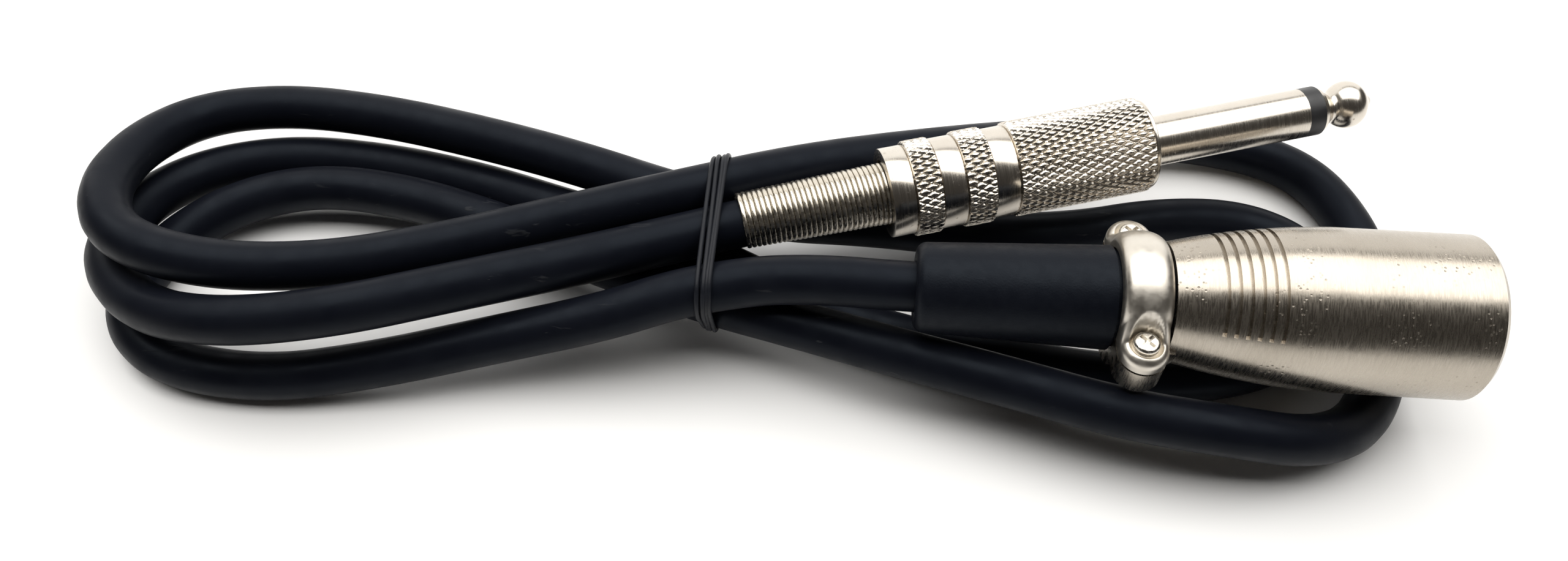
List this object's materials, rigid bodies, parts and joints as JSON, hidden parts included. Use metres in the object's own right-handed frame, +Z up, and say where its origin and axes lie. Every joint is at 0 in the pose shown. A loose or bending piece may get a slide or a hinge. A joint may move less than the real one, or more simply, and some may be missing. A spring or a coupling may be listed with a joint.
{
  "type": "xlr cable coil",
  "caption": "Black audio cable folded into a flat figure-eight hank, tied at its waist with elastic; a round three-contact plug is on one end and a jack plug with a spring guard on the other.",
  "frame": {"origin": "the middle of the footprint of the whole tied cable, on the surface it lies on", "axes": "+Z up from the surface; +X along the hank, the way the plugs' mating ends point; +Y across it, from the three-contact plug's side to the jack's side"},
  "size_m": [0.167, 0.0546, 0.0251],
  "materials": {
    "cable_jacket": "satin",
    "elastic": "matte",
    "satin_nickel": "satin",
    "bright_nickel": "polished",
    "spring_steel": "polished",
    "silver_plate": "polished",
    "lug_brass": "satin",
    "black_insulator": "satin",
    "boot_rubber": "matte",
    "liner_plastic": "satin",
    "core_sheath": "satin",
    "bare_copper": "satin",
    "solder_tin": "satin"
  },
  "bodies": {
    "cable_and_plugs": {"cable_hank": "cable_jacket", "cable_tail_xlr": "cable_jacket", "cable_in_boot": "cable_jacket", "cable_tail_jack": "cable_jacket", "cable_in_barrel": "cable_jacket", "elastic_tie": "elastic", "xlr_shell": "satin_nickel", "jack_sleeve": "bright_nickel", "jack_tip": "bright_nickel", "xlr_insert_screw": "spring_steel", "xlr_contact_1": "silver_plate", "xlr_contact_2": "silver_plate", "xlr_contact_3": "silver_plate", "jack_ground_lug": "lug_brass", "jack_tip_lug": "lug_brass", "xlr_insert": "black_insulator", "jack_insulating_ring": "black_insulator", "jack_insulating_tube": "black_insulator", "jack_washer": "black_insulator", "xlr_boot": "boot_rubber", "jack_liner": "liner_plastic", "jack_core_wire": "core_sheath", "xlr_core_wire": "core_sheath", "jack_screen_wire": "bare_copper", "xlr_screen_wires": "bare_copper", "jack_solder": "solder_tin", "xlr_solder": "solder_tin"},
    "spring_guard": {"jack_spring": "spring_steel"},
    "barrel": {"jack_barrel": "bright_nickel"},
    "saddle": {"clamp_saddle": "bright_nickel"},
    "screw_near": {"clamp_screw_near": "spring_steel"},
    "screw_far": {"clamp_screw_far": "spring_steel"}
  },
  "joints": [
    {"name": "barrel_back_off", "type": "slide", "parent": "cable_and_plugs", "child": "spring_guard", "axis": [-0.9614, -0.2702, -0.0523], "range_m": [0, 0.0012]},
    {"name": "barrel_turn", "type": "hinge", "parent": "spring_guard", "child": "barrel", "pos_m": [0.0496, 0.0121, 0.0159], "axis": [-0.9614, -0.2702, -0.0523], "range_deg": [0, 576]},
    {"name": "clamp_lift", "type": "slide", "parent": "cable_and_plugs", "child": "saddle", "axis": [0, 0, 1], "range_m": [0, 0.00135]},
    {"name": "screw_near_turn", "type": "hinge", "parent": "saddle", "child": "screw_near", "pos_m": [0.04595, -0.0204, 0.0156], "axis": [0, 0, 1], "range_deg": [0, 1080.1]},
    {"name": "screw_far_turn", "type": "hinge", "parent": "saddle", "child": "screw_far", "pos_m": [0.04595, -0.0048, 0.0156], "axis": [0, 0, 1], "range_deg": [0, 1080.1]}
  ],
  "couplings": [
    {"joint": "barrel_back_off", "follows": "barrel_turn", "m_per_rad": 0.00011937},
    {"joint": "screw_near_turn", "follows": "clamp_lift", "rad_per_m": 13963},
    {"joint": "screw_far_turn", "follows": "clamp_lift", "rad_per_m": 13963}
  ]
}
